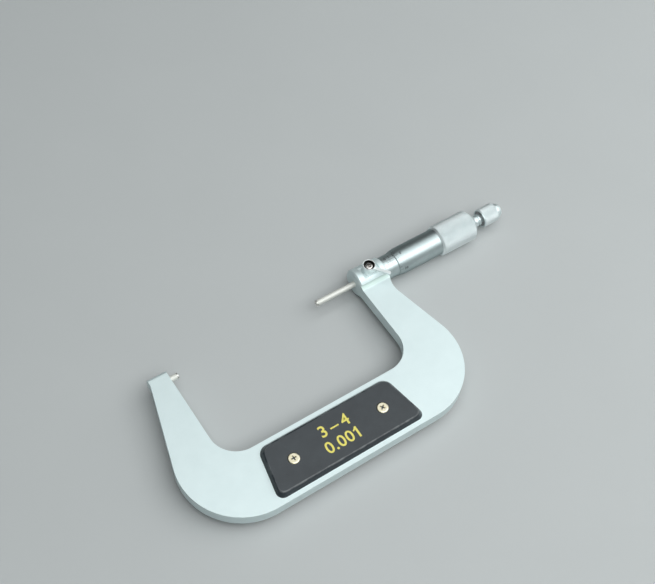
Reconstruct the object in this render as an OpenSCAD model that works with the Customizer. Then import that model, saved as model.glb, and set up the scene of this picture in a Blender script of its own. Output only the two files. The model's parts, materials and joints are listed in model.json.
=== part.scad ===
// Outside micrometer with a flat bow frame, friction sleeve, ratchet stop and spindle lock.
// Millimetres. Origin at the centre of the anvil's measuring face, on the spindle axis.
// +X runs along the spindle towards the ratchet, the bow lies at -Y, +Z leaves the front face.

/* [Measuring range] */
// Smallest opening between the measuring faces
range_min = 76.2; // [60:0.1:100]
// Travel of the spindle from closed to fully open
travel = 25.4; // [20:0.1:32]
// How far the spindle stands open past the smallest opening
opened = 5.08; // [0:0.01:20]
// Diameter of the anvil and of the spindle rod
rod_d = 3.175; // [2.6:0.005:4]
// Thickness of the hard tips on the measuring faces
tip_t = 0.8; // [0.4:0.1:1.5]

/* [Frame] */
// Thickness of the frame plate
frame_t = 7; // [5.5:0.1:9]
// Spindle axis to the inner edge of the bow
throat_depth = 53.8; // [44:0.1:66]
// Radius of the inner corners of the throat
throat_r = 14.5; // [10:0.1:20]
// Depth of the bow bar below the throat
bow_depth = 32.5; // [26:0.1:40]
// Radius of the outer corners of the bow
bow_r = 33; // [26:0.1:40]
// Width of each arm where it runs into the bow
arm_root_w = 23.6; // [20:0.1:29]
// Width of the arm end that holds the anvil
arm_end_w = 10.3; // [8.5:0.1:12.5]
// How far that end rises past the spindle axis
arm_end_rise = 4.2; // [3.5:0.1:5.2]
// Round on the long edges of that end
arm_end_round = 2; // [0.5:0.1:2.5]
// How far the anvil stands out of its arm
anvil_stickout = 4.7; // [4:0.1:6]
// How deep the anvil is pressed into its arm
anvil_seat = 8.2; // [6:0.1:9]

/* [Hub] */
// Hub face to the spindle face at full opening
hub_setback = 3.6; // [2.5:0.1:5]
// Wall of the hub round the seat of the barrel
hub_wall = 2.3; // [1.8:0.1:3]
// Chamfer on both rims of the hub
hub_chamfer = 0.7; // [0.3:0.1:1]
// Fillet between the hub and the faces of its arm
hub_fillet = 4; // [3:0.1:5]
// Width of the hub arm at its neck
neck_w = 16; // [13:0.1:19.5]
// Spindle axis down to that neck
neck_drop = 17.4; // [14:0.1:21]
// Fillet where the outer edge of the arm flares out to the hub
flare_r = 14; // [11:0.1:17]
// Spindle axis down to the end of that flare
flare_drop = 7.6; // [6.3:0.1:9.2]

/* [Spindle lock] */
// Hub face to the lock axis
lock_from_face = 8.4; // [7.5:0.1:9.5]
// Lock axis to the end of the inner barrel
lock_to_barrel = 3.4; // [2.8:0.1:4.2]
// Depth of the flat that is milled on the hub for the lock
flat_cut = 1; // [0.8:0.1:1.2]
// Length of that flat from the lock axis towards the anvil
flat_before = 4.6; // [3.8:0.1:5.6]
// Length of that flat from the lock axis towards the sleeve
flat_after = 5.8; // [4.8:0.1:7]
// Diameter of the lock lever's ring
lock_ring_d = 6.8; // [6.2:0.1:7.4]
// Height of the ring over the flat
lock_ring_h = 5; // [4:0.1:6]
// Depth of the recess that holds the screw head
lock_recess = 2.3; // [1.8:0.1:2.8]
// Wall of the ring round that recess
lock_rim = 0.4; // [0.3:0.05:0.6]
// Diameter of the lock screw's head
lock_head_d = 5.2; // [4.4:0.1:5.3]
// Height of the lock screw's head
lock_head_h = 1.6; // [1.2:0.1:2]
// Diameter of the lock screw's thread
lock_thread_d = 2.6; // [2.2:0.1:3]
// Reach of the lever from the lock axis
lever_reach = 12; // [10:0.1:14]
// Width of the lever
lever_w = 1.7; // [1.4:0.1:2.4]
// Thickness of the lever
lever_t = 1.4; // [1:0.1:2]
// Top of the ring down to the lever
lever_drop = 1.2; // [0.8:0.1:2]
// Direction of the lever from +X, in degrees
lever_angle = -52; // [-80:1:-20]

/* [Barrel and sleeve] */
// Diameter of the measuring thread
thread_d = 5; // [4.1:0.1:6]
// Length of thread in the barrel
thread_len = 16; // [13:0.1:20]
// Wall of the inner barrel round its thread
barrel_wall = 2.67; // [2.2:0.01:3.2]
// How deep the barrel is pressed into the hub
barrel_seat = 5.5; // [4.5:0.1:6.6]
// Wall of the graduated sleeve
sleeve_wall = 1.27; // [1:0.01:1.6]
// Hub face to the zero line of the sleeve
zero_margin = 2.5; // [2.5:0.1:5]
// Length of sleeve past its last graduation
sleeve_tail = 1.6; // [1:0.1:3]
// Diameter of the hook spanner's hole in the sleeve
spanner_hole_d = 1.6; // [1:0.1:2]
// Width of the three slits that let the barrel's end close on the thread
slit_w = 0.6; // [0.4:0.1:1]
// Length of the adjusting nut
nut_len = 4.6; // [3.5:0.1:6]
// How far the adjusting nut stays under the outside of the sleeve
nut_drop = 0.35; // [0.1:0.05:0.8]
// Step from the barrel down to the thread of the adjusting nut
nut_step = 0.5; // [0.3:0.1:1]

/* [Thimble] */
// Wall of the plain part of the thimble
thimble_wall = 0.82; // [0.6:0.01:1.2]
// Thickness of the thimble's front edge
lip_t = 0.25; // [0.15:0.05:0.5]
// Length of the graduated bevel
bevel_len = 4.2; // [3:0.1:6]
// Front edge of the thimble to the knurled grip
plain_len = 27.9; // [22:0.1:34]
// Height of the knurled grip over the plain part
knurl_rise = 1.2; // [0.8:0.1:1.6]
// Length of the bevel at the front of the grip
knurl_bevel = 1.2; // [0.8:0.1:2.5]
// Length of the knurled grip with its front bevel
knurl_len = 22.4; // [18:0.1:27]
// Length of the cone at the back of the thimble
thimble_cone_len = 3.2; // [2:0.1:4]
// Rim of the thimble's back end round the ratchet neck
thimble_rim = 1.6; // [1:0.1:2.2]
// Barrel end to the thimble's inner wall when closed
end_room = 1.5; // [1:0.1:3]
// Length of the cone that centres the thimble on the spindle
seat_len = 9.8; // [8:0.1:11.5]
// Step from the measuring thread up to the large end of that cone
seat_step = 0.4; // [0.2:0.05:0.8]
// Drop in radius along that cone
seat_drop = 0.6; // [0.3:0.05:0.8]

/* [Ratchet stop] */
// Step from the thimble's cone up to the ratchet stem's neck
stem_step = 0.3; // [0.2:0.05:0.6]
// Length of neck that shows behind the thimble
stem_len = 5.4; // [4.5:0.1:6.5]
// Step from that neck down to the stem's foot
foot_step = 0.9; // [0.6:0.05:1.1]
// Length of that foot before the knob
foot_len = 0.9; // [0.6:0.1:1.2]
// Depth of the groove round the neck
groove_depth = 0.58; // [0.3:0.02:0.8]
// Width of that groove
groove_w = 0.7; // [0.4:0.1:1]
// Length of the thread that joins the stem to the spindle
stem_screw_len = 6; // [5:0.1:7.2]
// Diameter of the ratchet knob
knob_d = 10.6; // [10:0.1:12]
// Length of the taper at the end of the knob
knob_taper = 3.4; // [2.4:0.1:3.5]
// Drop in radius along that taper
knob_taper_drop = 1.9; // [1:0.1:2.2]
// Wall of the knob round its hollow
knob_wall = 0.9; // [0.7:0.1:1.1]
// Radius of the two keys inside the knob
key_r = 0.72; // [0.5:0.02:0.9]
// Thickness of the knob's end wall
knob_end_t = 3.5; // [3:0.1:4]
// Number of teeth on each ratchet disc
ratchet_teeth = 10; // [6:1:14]
// Height of the ratchet teeth
tooth_h = 0.6; // [0.3:0.1:0.9]
// Thickness of each ratchet disc behind its teeth
disc_t = 1.3; // [1:0.1:1.6]
// Diameter of the screw that holds the ratchet together
ratchet_screw_d = 2.4; // [2:0.1:2.6]
// Length of the ratchet spring in its place
spring_len = 4.9; // [4:0.1:6]
// Wire diameter of the ratchet spring
spring_wire = 0.6; // [0.4:0.1:0.8]
// Number of turns of the ratchet spring
spring_turns = 4; // [3:1:6]

/* [Cover plates] */
// Thickness of each cover plate
plate_t = 2.5; // [2.2:0.1:4.2]
// Inner edge of an arm to the plate, along the throat
plate_inset = 18; // [15:0.1:22]
// How much further the plate reaches at each end along the outside of the bow
plate_flare = 5.2; // [0:0.1:7]
// Edge of the bow to the plate, on both sides
plate_margin = 2.4; // [1.4:0.05:3.5]
// Radius of the plate's corners
plate_r = 4.5; // [3:0.1:6]
// How far the plate's sides lean in from foot to top edge
plate_lean = 1.3; // [0.6:0.1:1.8]
// Upright foot of the plate's sides
plate_foot = 0.4; // [0.2:0.1:0.8]
// Round over the plate's top edge
plate_edge = 0.6; // [0.3:0.1:1]
// Shift of the plate from the middle of the throat, towards the anvil
plate_shift = 2.1; // [0:0.1:4]
// End of the plate along the throat to the screw
screw_inset = 11.5; // [9:0.1:13.5]
// Diameter of the plate screws' thread
screw_d = 3; // [2.4:0.1:3.4]
// Diameter of the plate screws' heads
screw_head_d = 6.2; // [5:0.1:6.5]
// Height of the plate screws' heads
screw_head_h = 1.5; // [1.2:0.1:2]
// Depth of the counterbore under each head
screw_recess = 1; // [0.6:0.1:1.6]

/* [Fits] */
// Radial room of a turning or sliding fit
run_fit = 0.03; // [0.01:0.01:0.08]
// Radial room of a pressed or screwed fit
press_fit = 0.02; // [0:0.005:0.03]
// Room between the thimble and the sleeve
thimble_fit = 0.08; // [0.05:0.01:0.1]
// Gap between faces that turn past each other
face_gap = 0.06; // [0.03:0.01:0.2]

/* [Hidden] */
$fn = 96;
// Overshoot of a cut past the face that it opens
over = 1;
// Room past the end of a screw or a spigot
hole_room = 0.5;

// Stations along the spindle axis
range_max = range_min + travel;
gap = range_min + opened;
throat_left = -anvil_stickout;
hub_front = range_max + hub_setback;
hub_len = lock_from_face + lock_to_barrel + barrel_seat;
hub_end = hub_front + hub_len;
throat_mid = (throat_left + hub_front) / 2;
lock_x = hub_front + lock_from_face;
barrel_start = hub_end - barrel_seat;
zero_x = hub_end + zero_margin;
sleeve_end = zero_x + travel + sleeve_tail;
nut_start = sleeve_end + face_gap;
barrel_end = nut_start + nut_len + face_gap;
thread_start = barrel_end - thread_len;
thimble_x = zero_x + opened;
wall_x = barrel_end + end_room + opened;
seat_end = wall_x + seat_len;
knurl_x = thimble_x + plain_len;
knurl_end = knurl_x + knurl_len;
thimble_end = knurl_end + thimble_cone_len;
knob_x = thimble_end + stem_len + face_gap;
drive_x = knob_x + hole_room;
drive_face_x = drive_x + disc_t + tooth_h;
slip_face_x = drive_face_x + face_gap;
slip_end = slip_face_x + tooth_h + disc_t;
knob_hollow_end = slip_end + spring_len;
knob_end = knob_hollow_end + knob_end_t;

// Radii, from the spindle axis outwards
rod_r = rod_d / 2;
thread_r = thread_d / 2;
barrel_r = thread_r + run_fit + barrel_wall;
sleeve_r = barrel_r + run_fit + sleeve_wall;
bore_r = sleeve_r + thimble_fit;
plain_r = bore_r + thimble_wall;
knurl_r = plain_r + knurl_rise;
hub_r = barrel_r + hub_wall;
hub_d = 2 * hub_r;
nut_r = sleeve_r - nut_drop;
nut_seat_r = barrel_r - nut_step;
seat_r = thread_r + seat_step;
seat_small_r = seat_r - seat_drop;
stem_screw_r = seat_small_r / 2;
neck_r = seat_r + stem_step;
knob_r = knob_d / 2;
hollow_r = knob_r - knob_wall;
disc_r = hollow_r - face_gap;
shank_r = ratchet_screw_d / 2;

// Foot of the stem, its spigot for the drive disc, and the relief inside the ratchet teeth
foot_r = neck_r - foot_step;
spigot_r = foot_r - hole_room;
relief_r = spigot_r + tooth_h / 3;

// Stations across the frame
half_t = frame_t / 2;
bow_y = -(throat_depth + bow_depth);
corner_y = bow_y + bow_r;
corner_left = [throat_left - arm_root_w + bow_r, corner_y];
corner_right = [hub_front + arm_root_w - bow_r, corner_y];
plate_face_z = half_t + plate_t;
plate_mid_x = throat_mid - plate_shift;
plate_mid_y = -(throat_depth + bow_depth / 2);
plate_depth = bow_depth - 2 * plate_margin;
plate_top_w = hub_front - throat_left - 2 * plate_inset;
plate_bottom_w = plate_top_w + 2 * plate_flare;
lock_flat_z = hub_r - flat_cut;
lock_top_z = lock_flat_z + lock_ring_h;

// Point at the end of a radius of a circle
function on_circle(centre, r, a) = centre + r * [cos(a), sin(a)];

// Solid of revolution about the X axis, from pairs of station and radius
module turned(outline) {
    rotate([0, 90, 0])
        rotate_extrude()
            polygon([for (p = outline) [p[1], p[0]]]);
}

// Cylinder along the X axis between two stations
module x_rod(r, x0, x1) {
    translate([x0, 0, 0])
        rotate([0, 90, 0])
            cylinder(r = r, h = x1 - x0);
}

// Angle on the bow's corner circle where a straight edge from a point touches it
function touch_angle(point, centre, side) =
    let (v = point - centre)
    atan2(v[1], v[0]) - side * acos(bow_r / norm(v));

// Centre of the flare: it touches the arm's edge and ends at a corner of the hub
function flare_centre(touch, a, corner) =
    let (
        out = [cos(a), sin(a)],
        along = [-sin(a), cos(a)],
        w = touch + flare_r * out - corner,
        back = sqrt(pow(flare_r, 2) - pow(w * out, 2))
    )
    touch + flare_r * out - (w * along + back) * along;

// Flat outline of the frame: two tapered arms that run into the round corners of the bow
module frame_outline() {
    anvil_end = [throat_left - arm_end_w, 0];
    left_touch = on_circle(corner_left, bow_r, touch_angle(anvil_end, corner_left, -1));
    hub_slope = touch_angle([hub_front + neck_w, -neck_drop], corner_right, 1);
    right_touch = on_circle(corner_right, bow_r, hub_slope);
    hub_corner = [hub_end, -flare_drop];
    flare_mid = flare_centre(right_touch, hub_slope, hub_corner);
    flare_touch = on_circle(flare_mid, flare_r, hub_slope + 180);
    difference() {
        union() {
            polygon([
                [anvil_end[0], arm_end_rise], anvil_end, left_touch, corner_left,
                [corner_left[0], bow_y], [corner_right[0], bow_y], corner_right, right_touch,
                flare_touch, hub_corner, [hub_end, 0], [throat_left, arm_end_rise]
            ]);
            translate(corner_left)
                circle(bow_r);
            translate(corner_right)
                circle(bow_r);
        }
        translate(flare_mid)
            circle(flare_r);
        throat_outline();
    }
}

// Open throat between the arms, with round inner corners
module throat_outline() {
    width = hub_front - throat_left;
    translate([throat_left, throat_r - throat_depth])
        square([width, throat_depth + throat_r]);
    translate([throat_left + throat_r, -throat_depth])
        square([width - 2 * throat_r, 2 * throat_r]);
    for (x = [throat_left + throat_r, hub_front - throat_r])
        translate([x, throat_r - throat_depth])
            circle(throat_r);
}

// Concave fillets between the hub and both faces of its arm, dipping a little into both
module hub_blend() {
    dip = 0.02;
    mid_z = half_t + hub_fillet - dip;
    mid_y = -sqrt(pow(hub_r + hub_fillet - dip, 2) - pow(mid_z, 2));
    intersection() {
        linear_extrude(hub_d, center = true)
            frame_outline();
        translate([hub_front, 0, 0])
            rotate([90, 0, 90])
                linear_extrude(hub_len)
                    difference() {
                        polygon([[mid_y, -mid_z], [mid_y, mid_z], [0, 0]]);
                        for (side = [-1, 1])
                            translate([mid_y, side * mid_z])
                                circle(hub_fillet);
                    }
    }
}

// Cutter that rounds one long edge of the anvil arm's end
module end_round_cut() {
    translate([throat_left - arm_end_w - over, 0, 0])
        rotate([90, 0, 90])
            linear_extrude(arm_end_w + 2 * over)
                difference() {
                    translate([arm_end_rise - arm_end_round, half_t - arm_end_round])
                        square(arm_end_round + over);
                    translate([arm_end_rise - arm_end_round, half_t - arm_end_round])
                        circle(arm_end_round);
                }
}

module at_plate_screws() {
    for (side = [-1, 1])
        translate([plate_mid_x + side * (plate_top_w / 2 - screw_inset), plate_mid_y, 0])
            children();
}

module frame() {
    color("gainsboro")
        difference() {
            union() {
                linear_extrude(frame_t, center = true)
                    frame_outline();
                hub_blend();
                turned([
                    [hub_front, 0], [hub_front, hub_r - hub_chamfer], [hub_front + hub_chamfer, hub_r],
                    [hub_end - hub_chamfer, hub_r], [hub_end, hub_r - hub_chamfer], [hub_end, 0]
                ]);
            }
            end_round_cut();
            mirror([0, 0, 1])
                end_round_cut();
            x_rod(rod_r + press_fit, throat_left - anvil_seat, throat_left + over);
            x_rod(rod_r + run_fit, hub_front - over, hub_end);
            x_rod(barrel_r + press_fit, barrel_start, hub_end + over);
            translate([lock_x - flat_before, -hub_d, lock_flat_z])
                cube([flat_before + flat_after, 2 * hub_d, hub_d]);
            translate([lock_x, 0, 0])
                cylinder(d = lock_thread_d + 2 * run_fit, h = hub_d);
            at_plate_screws()
                cylinder(d = screw_d + 2 * press_fit, h = frame_t + 2 * over, center = true);
        }
}

module anvil() {
    seat_x = throat_left - anvil_seat + press_fit;
    color("silver")
        x_rod(rod_r, seat_x, -tip_t);
}

module anvil_tip() {
    color("dimgray")
        x_rod(rod_r, -tip_t, 0);
}

// Trapezoid cover with round corners, leaning sides and a rounded top edge, drilled for its two screws
module cover_plate() {
    row_y = plate_depth / 2 - plate_r;
    lean_r = plate_r - plate_lean;
    rows = [
        [plate_top_w / 2 - plate_r, plate_mid_y + row_y],
        [plate_bottom_w / 2 - plate_r, plate_mid_y - row_y]
    ];
    difference() {
        hull()
            for (row = rows, side = [-1, 1])
                translate([plate_mid_x + side * row[0], row[1], half_t]) {
                    cylinder(r = plate_r, h = plate_foot, $fn = 32);
                    for (a = [0 : 30 : 90])
                        cylinder(
                            r = lean_r - plate_edge * (1 - cos(a)),
                            h = plate_t - plate_edge * (1 - sin(a)), $fn = 32
                        );
                }
        at_plate_screws() {
            cylinder(d = screw_d + 2 * run_fit, h = plate_face_z + over);
            translate([0, 0, plate_face_z - screw_recess])
                cylinder(d = screw_head_d + 4 * face_gap, h = screw_recess + over);
        }
    }
}

// Two pan head screws, with shanks that end inside their half of the frame
module cover_screws() {
    head_z = plate_face_z - screw_recess;
    at_plate_screws()
        rotate_extrude()
            polygon([
                [0, hole_room / 2], [screw_d / 2, hole_room / 2], [screw_d / 2, head_z],
                [screw_head_d / 2, head_z], [screw_head_d / 2, head_z + screw_head_h / 2],
                [screw_head_d / 3, head_z + screw_head_h], [0, head_z + screw_head_h]
            ]);
}

module front_plate() {
    color("black")
        cover_plate();
}

module back_plate() {
    color("black")
        mirror([0, 0, 1])
            cover_plate();
}

module front_plate_screws() {
    color("goldenrod")
        cover_screws();
}

module back_plate_screws() {
    color("goldenrod")
        mirror([0, 0, 1])
            cover_screws();
}

// Ring with a deep recess for the screw head, and a thin lever that reaches over the hub
module lock_lever() {
    color("lightgray")
        translate([lock_x, 0, 0])
            difference() {
                union() {
                    translate([0, 0, lock_flat_z + face_gap])
                        cylinder(d = lock_ring_d, h = lock_ring_h - face_gap);
                    rotate(lever_angle)
                        translate([0, 0, lock_top_z - lever_drop - lever_t]) {
                            translate([0, -lever_w / 2, 0])
                                cube([lever_reach - lever_w / 2, lever_w, lever_t]);
                            translate([lever_reach - lever_w / 2, 0, 0])
                                cylinder(d = lever_w, h = lever_t);
                        }
                }
                translate([0, 0, lock_top_z - lock_recess])
                    cylinder(d = lock_ring_d - 2 * lock_rim, h = lock_recess + over);
                cylinder(d = lock_thread_d + 2 * press_fit, h = lock_top_z);
            }
}

// Screw that the lever turns, pressing the pad on the spindle
module lock_screw() {
    head_z = lock_top_z - lock_recess;
    tip_z = (rod_r + lock_flat_z) / 2;
    color("whitesmoke")
        translate([lock_x, 0, 0])
            rotate_extrude()
                polygon([
                    [0, tip_z], [lock_thread_d / 2, tip_z], [lock_thread_d / 2, head_z],
                    [lock_head_d / 2, head_z], [lock_head_d / 2, head_z + lock_head_h / 2],
                    [lock_head_d / 3, head_z + lock_head_h], [0, head_z + lock_head_h]
                ]);
}

// Soft pad between the lock screw and the spindle
module lock_pad() {
    tip_z = (rod_r + lock_flat_z) / 2;
    color("darkgoldenrod")
        difference() {
            translate([lock_x, 0, 0])
                cylinder(d = lock_thread_d, h = tip_z - face_gap);
            x_rod(rod_r + run_fit, lock_x - lock_thread_d, lock_x + lock_thread_d);
        }
}

// Fixed barrel with the measuring thread, split at its end so that the nut can close it
module inner_barrel() {
    color("gray")
        difference() {
            turned([
                [barrel_start, thread_r + hole_room], [barrel_start, barrel_r], [nut_start, barrel_r],
                [nut_start, nut_seat_r], [barrel_end, nut_seat_r], [barrel_end, thread_r + run_fit],
                [thread_start, thread_r + run_fit], [thread_start, thread_r + hole_room]
            ]);
            for (a = [0, 120, 240])
                rotate([a, 0, 0])
                    translate([thread_start + thread_len / 4, -slit_w / 2, 0])
                        cube([thread_len, slit_w, 2 * barrel_r]);
        }
}

// Ring nut on the barrel's end, with four notches for a spanner
module adjusting_nut() {
    notch = nut_len / 3;
    color("darkgray")
        difference() {
            turned([
                [nut_start + face_gap, nut_seat_r + press_fit], [nut_start + face_gap, nut_r],
                [barrel_end, nut_r], [barrel_end, nut_seat_r + press_fit]
            ]);
            for (a = [45 : 90 : 315])
                rotate([a, 0, 0])
                    translate([barrel_end - notch, -notch / 2, nut_r - notch / 2])
                        cube([notch + over, notch, notch]);
        }
}

// Graduated sleeve, turned on the barrel through its spanner hole to set zero
module sleeve() {
    color("silver")
        difference() {
            turned([
                [hub_end + face_gap, barrel_r + run_fit], [hub_end + face_gap, sleeve_r],
                [sleeve_end, sleeve_r], [sleeve_end, barrel_r + run_fit]
            ]);
            translate([hub_end + zero_margin / 2, 0, -2 * sleeve_r])
                cylinder(d = spanner_hole_d, h = 2 * sleeve_r);
        }
}

module spindle_tip() {
    color("dimgray")
        x_rod(rod_r, gap, gap + tip_t);
}

// Rod, measuring thread and the cone that carries the thimble
module spindle() {
    thread_x = hub_end + zero_margin / 2 + opened;
    spindle_end = seat_end - hole_room;
    slope = (seat_r - seat_small_r) / seat_len;
    screw_hole_x = seat_end - stem_screw_len - hole_room;
    color("silver")
        difference() {
            turned([
                [gap + tip_t + face_gap / 3, 0], [gap + tip_t + face_gap / 3, rod_r], [thread_x, rod_r],
                [thread_x, thread_r], [wall_x - hole_room, thread_r], [wall_x - hole_room, seat_r],
                [wall_x, seat_r], [spindle_end, seat_small_r + slope * hole_room], [spindle_end, 0]
            ]);
            x_rod(stem_screw_r + press_fit, screw_hole_x, spindle_end + over);
        }
}

// Thimble: graduated bevel, plain part, knurled grip and back cone, hollow over the sleeve
module thimble() {
    color("silver")
        turned([
            [thimble_x, bore_r], [thimble_x, bore_r + lip_t], [thimble_x + bevel_len, plain_r],
            [knurl_x, plain_r], [knurl_x + knurl_bevel, knurl_r], [knurl_end, knurl_r],
            [thimble_end, neck_r + thimble_rim], [thimble_end, neck_r + press_fit],
            [seat_end, neck_r + press_fit], [seat_end, seat_small_r + press_fit],
            [wall_x, seat_r + press_fit], [wall_x, bore_r]
        ]);
}

// Stem that clamps the thimble on its cone, with a grooved neck and a spigot for the drive disc
module ratchet_stem() {
    groove_x = thimble_end + stem_len / 2;
    groove_r = neck_r - groove_depth;
    foot_x = thimble_end + stem_len - foot_len;
    spigot_end = drive_x + disc_t;
    color("silver")
        difference() {
            turned([
                [seat_end - stem_screw_len, 0], [seat_end - stem_screw_len, stem_screw_r],
                [seat_end, stem_screw_r], [seat_end, neck_r], [groove_x, neck_r],
                [groove_x, groove_r], [groove_x + groove_w, groove_r], [groove_x + groove_w, neck_r],
                [foot_x, neck_r], [foot_x, foot_r], [drive_x, foot_r], [drive_x, spigot_r],
                [spigot_end, spigot_r], [spigot_end, 0]
            ]);
            x_rod(shank_r + press_fit, seat_end + hole_room, spigot_end + over);
        }
}

// Cutter for a ring of saw notches, and the relief inside it, in a face at X = 0 that looks to +X
module saw_notches() {
    land = 0.2;
    notch_w = (1 - land) * 2 * PI * relief_r / ratchet_teeth;
    x_rod(relief_r, -tooth_h, over);
    rotate([0, 90, 0])
        for (i = [0 : ratchet_teeth - 1])
            rotate(i * 360 / ratchet_teeth)
                translate([relief_r - hole_room / 2, 0, 0])
                    rotate([90, 0, 90])
                        linear_extrude(disc_r)
                            polygon([[0, over], [0, -tooth_h], [notch_w, 0], [notch_w, over]]);
}

// Toothed disc fixed on the stem
module ratchet_drive_disc() {
    color("gray")
        difference() {
            x_rod(disc_r, drive_x, drive_face_x);
            x_rod(spigot_r + press_fit, drive_x - over, drive_face_x + over);
            translate([drive_face_x, 0, 0])
                saw_notches();
        }
}

// Keys in the knob's hollow that carry the slip disc round, as cutter or as solid
module knob_keys(room) {
    for (side = [-1, 1])
        translate([0, side * hollow_r, 0])
            x_rod(key_r + room, slip_face_x, knob_hollow_end + room);
}

// Toothed disc that the spring pushes against the drive disc, keyed to the knob
module ratchet_slip_disc() {
    color("gray")
        difference() {
            x_rod(disc_r, slip_face_x, slip_end);
            x_rod(shank_r + face_gap, slip_face_x - over, slip_end + over);
            translate([slip_face_x, 0, 0])
                mirror([1, 0, 0])
                    saw_notches();
            knob_keys(face_gap);
        }
}

// Ring of points round a station of the spring's helix
function coil_ring(t, r, x0, rise) = [
    for (a = [0 : 60 : 300])
        let (reach = r + spring_wire / 2 * cos(a))
        [
            x0 + rise * t + spring_wire / 2 * sin(a),
            reach * cos(360 * spring_turns * t),
            reach * sin(360 * spring_turns * t)
        ]
];

// Compression spring between the slip disc and the knob's end wall
module ratchet_spring() {
    sides = 6;
    steps = 16 * spring_turns;
    r = (shank_r + hollow_r) / 2;
    x0 = slip_end + spring_wire / 2 + face_gap;
    rise = knob_hollow_end - face_gap - spring_wire / 2 - x0;
    points = [for (i = [0 : steps]) each coil_ring(i / steps, r, x0, rise)];
    skin = [
        for (i = [0 : steps - 1], k = [0 : sides - 1])
            let (next = (k + 1) % sides)
            [i * sides + k, i * sides + next, (i + 1) * sides + next, (i + 1) * sides + k]
    ];
    first = [for (k = [sides - 1 : -1 : 0]) k];
    last = [for (k = [0 : sides - 1]) steps * sides + k];
    color("dimgray")
        polyhedron(points, concat(skin, [first, last]));
}

// Cup that the fingers turn, with its keys and the seat of the end screw
module ratchet_knob() {
    head_x = knob_end - knob_end_t / 2;
    head_r = 2 * shank_r + face_gap;
    color("silver") {
        turned([
            [knob_x, hollow_r], [knob_x, knob_r], [knob_end - knob_taper, knob_r],
            [knob_end, knob_r - knob_taper_drop], [knob_end, head_r], [head_x, head_r],
            [head_x, shank_r + run_fit], [knob_hollow_end, shank_r + run_fit], [knob_hollow_end, hollow_r]
        ]);
        intersection() {
            knob_keys(0);
            x_rod(hollow_r + knob_wall / 2, slip_face_x, knob_end);
        }
    }
}

// Screw through the ratchet, its head flush in the knob's end
module ratchet_screw() {
    head_x = knob_end - knob_end_t / 2 + face_gap;
    head_end = knob_end - knob_end_t / 10;
    color("silver")
        turned([
            [seat_end + 2 * hole_room, 0], [seat_end + 2 * hole_room, shank_r], [head_x, shank_r],
            [head_x, 2 * shank_r], [head_end, 2 * shank_r], [head_end, 0]
        ]);
}

frame();
anvil();
anvil_tip();
front_plate();
back_plate();
front_plate_screws();
back_plate_screws();
lock_lever();
lock_screw();
lock_pad();
inner_barrel();
adjusting_nut();
sleeve();
spindle_tip();
spindle();
thimble();
ratchet_stem();
ratchet_drive_disc();
ratchet_screw();
ratchet_slip_disc();
ratchet_spring();
ratchet_knob();
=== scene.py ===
import bpy
import json
import math
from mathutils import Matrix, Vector

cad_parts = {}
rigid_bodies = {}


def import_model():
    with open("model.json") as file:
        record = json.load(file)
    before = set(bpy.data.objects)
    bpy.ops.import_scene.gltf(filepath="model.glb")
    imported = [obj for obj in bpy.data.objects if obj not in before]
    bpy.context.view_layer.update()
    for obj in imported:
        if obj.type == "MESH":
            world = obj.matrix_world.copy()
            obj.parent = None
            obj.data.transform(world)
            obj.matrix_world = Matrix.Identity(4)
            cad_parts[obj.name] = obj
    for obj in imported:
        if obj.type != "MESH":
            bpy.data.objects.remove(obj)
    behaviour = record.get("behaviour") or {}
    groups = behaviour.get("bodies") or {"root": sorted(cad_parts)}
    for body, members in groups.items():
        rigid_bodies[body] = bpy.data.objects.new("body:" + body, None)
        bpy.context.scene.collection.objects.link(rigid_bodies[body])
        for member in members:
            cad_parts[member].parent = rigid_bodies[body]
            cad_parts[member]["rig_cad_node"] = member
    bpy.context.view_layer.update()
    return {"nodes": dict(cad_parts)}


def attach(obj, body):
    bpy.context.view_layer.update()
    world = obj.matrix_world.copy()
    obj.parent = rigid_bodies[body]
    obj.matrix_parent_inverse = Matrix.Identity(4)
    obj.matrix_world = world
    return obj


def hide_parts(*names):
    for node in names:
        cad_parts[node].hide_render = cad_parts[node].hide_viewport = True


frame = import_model()
mm = 0.001  # sizes below are in millimetres
weldGap = {"cad": 0.004, "turned": 0.002, "text": 0.001}  # points nearer than this become one
touch = 0.01  # near enough to lie on a face
along = 0.9  # a normal with a larger share than this in a direction looks that way
roundAngle = 32  # faces that meet at fewer degrees are shaded as one
print("frame loaded:", len(frame["nodes"]), "nodes")


def clearTable():
    if bpy.context.mode != "OBJECT":
        bpy.ops.object.mode_set(mode="OBJECT")
    bpy.ops.object.select_all(action="DESELECT")


def grab(piece):
    clearTable()
    piece.select_set(True)
    bpy.context.view_layer.objects.active = piece


def openAll(piece, how="VERT"):
    grab(piece)
    bpy.ops.object.mode_set(mode="EDIT")
    bpy.ops.mesh.select_mode(type=how)
    bpy.ops.mesh.select_all(action="SELECT")


# as openAll, but with nothing picked, and back in object mode where code can pick
def openNone(piece, how):
    openAll(piece, how)
    bpy.ops.mesh.select_all(action="DESELECT")
    bpy.ops.object.mode_set(mode="OBJECT")


def pickFaces(piece, direction):  # the faces that look that way
    openNone(piece, "FACE")
    for face in piece.data.polygons:
        face.select = face.normal.dot(Vector(direction)) > along
    bpy.ops.object.mode_set(mode="EDIT")


def pickEdges(piece, rule):  # rule(one end in mm, other end in mm, is it a seam)
    openNone(piece, "EDGE")
    points = piece.data.vertices
    for edge in piece.data.edges:
        a, b = (points[index].co / mm for index in edge.vertices)
        edge.select = rule(a, b, edge.use_seam)
    bpy.ops.object.mode_set(mode="EDIT")


def modify(piece, kind, **settings):
    grab(piece)
    step = piece.modifiers.new(kind.title(), kind)
    for key, value in settings.items():
        setattr(step, key, value)
    bpy.ops.object.modifier_apply(modifier=step.name)


def breakEdges(piece, width, angle, segments=2, **more):
    modify(piece, "BEVEL", width=width * mm, segments=segments, limit_method="ANGLE",
           angle_limit=math.radians(angle), **more)


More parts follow.
